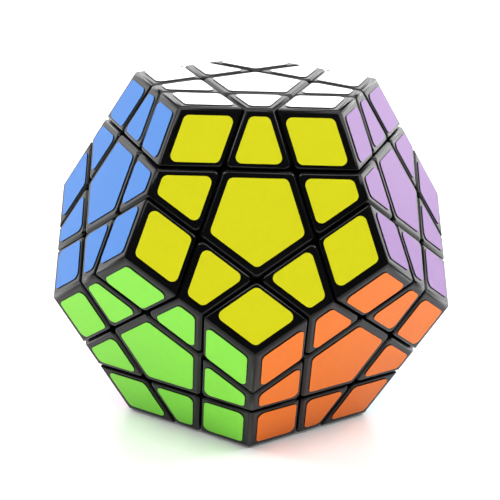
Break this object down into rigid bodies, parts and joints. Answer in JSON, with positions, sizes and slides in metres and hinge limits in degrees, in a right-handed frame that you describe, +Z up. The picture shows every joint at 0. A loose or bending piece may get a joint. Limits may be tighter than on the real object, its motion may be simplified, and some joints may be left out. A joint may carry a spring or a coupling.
{
  "type": "dodecahedron twisty puzzle",
  "caption": "Dodecahedron twisty puzzle: a twelve-sided colour puzzle of stickered centres, edges and corners on a spring-tensioned core.",
  "frame": {"origin": "centre of the underside of the grey face, the face the puzzle stands on", "axes": "+Z up through the white face, -Y towards the yellow face, +X to the right seen from the yellow side"},
  "size_m": [0.091, 0.0958, 0.0783],
  "materials": {
    "black_plastic": "satin gloss",
    "foot_plastic": "satin",
    "core_plastic": "satin",
    "steel": "plated",
    "spring_steel": "drawn wire",
    "sticker_white": "glossy vinyl film",
    "sticker_yellow": "glossy vinyl film",
    "sticker_purple": "glossy vinyl film",
    "sticker_dark_green": "glossy vinyl film",
    "sticker_red": "glossy vinyl film",
    "sticker_blue": "glossy vinyl film",
    "sticker_orange": "glossy vinyl film",
    "sticker_sky_blue": "glossy vinyl film",
    "sticker_cream": "glossy vinyl film",
    "sticker_pink": "glossy vinyl film",
    "sticker_lime": "glossy vinyl film",
    "sticker_grey": "glossy vinyl film"
  },
  "bodies": {
    "main_body": {"core": "core_plastic", "tension_screws": "steel", "tension_springs": "spring_steel", "screw_washers": "steel", "main_centre_housings": "black_plastic", "main_centre_caps": "black_plastic", "main_edge_shells": "black_plastic", "main_edge_feet": "foot_plastic", "main_corner_shells": "black_plastic", "main_corner_feet": "foot_plastic", "main_stickers_white": "sticker_white", "main_stickers_purple": "sticker_purple", "main_stickers_dark_green": "sticker_dark_green", "main_stickers_blue": "sticker_blue", "main_stickers_orange": "sticker_orange", "main_stickers_sky_blue": "sticker_sky_blue", "main_stickers_cream": "sticker_cream", "main_stickers_pink": "sticker_pink", "main_stickers_lime": "sticker_lime"},
    "yellow_layer": {"yellow_layer_centre_housing": "black_plastic", "yellow_layer_centre_cap": "black_plastic", "yellow_layer_edge_shells": "black_plastic", "yellow_layer_edge_feet": "foot_plastic", "yellow_layer_corner_shells": "black_plastic", "yellow_layer_corner_feet": "foot_plastic", "yellow_layer_stickers_yellow": "sticker_yellow", "yellow_layer_stickers_white": "sticker_white", "yellow_layer_stickers_purple": "sticker_purple", "yellow_layer_stickers_orange": "sticker_orange", "yellow_layer_stickers_lime": "sticker_lime", "yellow_layer_stickers_blue": "sticker_blue"},
    "red_layer": {"red_layer_centre_housing": "black_plastic", "red_layer_centre_cap": "black_plastic", "red_layer_edge_shells": "black_plastic", "red_layer_edge_feet": "foot_plastic", "red_layer_corner_shells": "black_plastic", "red_layer_corner_feet": "foot_plastic", "red_layer_stickers_red": "sticker_red", "red_layer_stickers_white": "sticker_white", "red_layer_stickers_dark_green": "sticker_dark_green", "red_layer_stickers_cream": "sticker_cream", "red_layer_stickers_pink": "sticker_pink", "red_layer_stickers_blue": "sticker_blue"},
    "grey_layer": {"grey_layer_centre_housing": "black_plastic", "grey_layer_centre_cap": "black_plastic", "grey_layer_edge_shells": "black_plastic", "grey_layer_edge_feet": "foot_plastic", "grey_layer_corner_shells": "black_plastic", "grey_layer_corner_feet": "foot_plastic", "grey_layer_stickers_grey": "sticker_grey", "grey_layer_stickers_orange": "sticker_orange", "grey_layer_stickers_sky_blue": "sticker_sky_blue", "grey_layer_stickers_cream": "sticker_cream", "grey_layer_stickers_pink": "sticker_pink", "grey_layer_stickers_lime": "sticker_lime"}
  },
  "joints": [
    {"name": "yellow_face_turn", "type": "hinge", "parent": "main_body", "child": "yellow_layer", "pos_m": [0, 0, 0.03917], "axis": [0, -0.8944, 0.4472], "continuous": true},
    {"name": "red_face_turn", "type": "hinge", "parent": "main_body", "child": "red_layer", "pos_m": [0, 0, 0.03917], "axis": [-0.5257, 0.7236, 0.4472], "continuous": true},
    {"name": "grey_face_turn", "type": "hinge", "parent": "main_body", "child": "grey_layer", "pos_m": [0, 0, 0.03917], "axis": [0, 0, -1], "continuous": true}
  ]
}
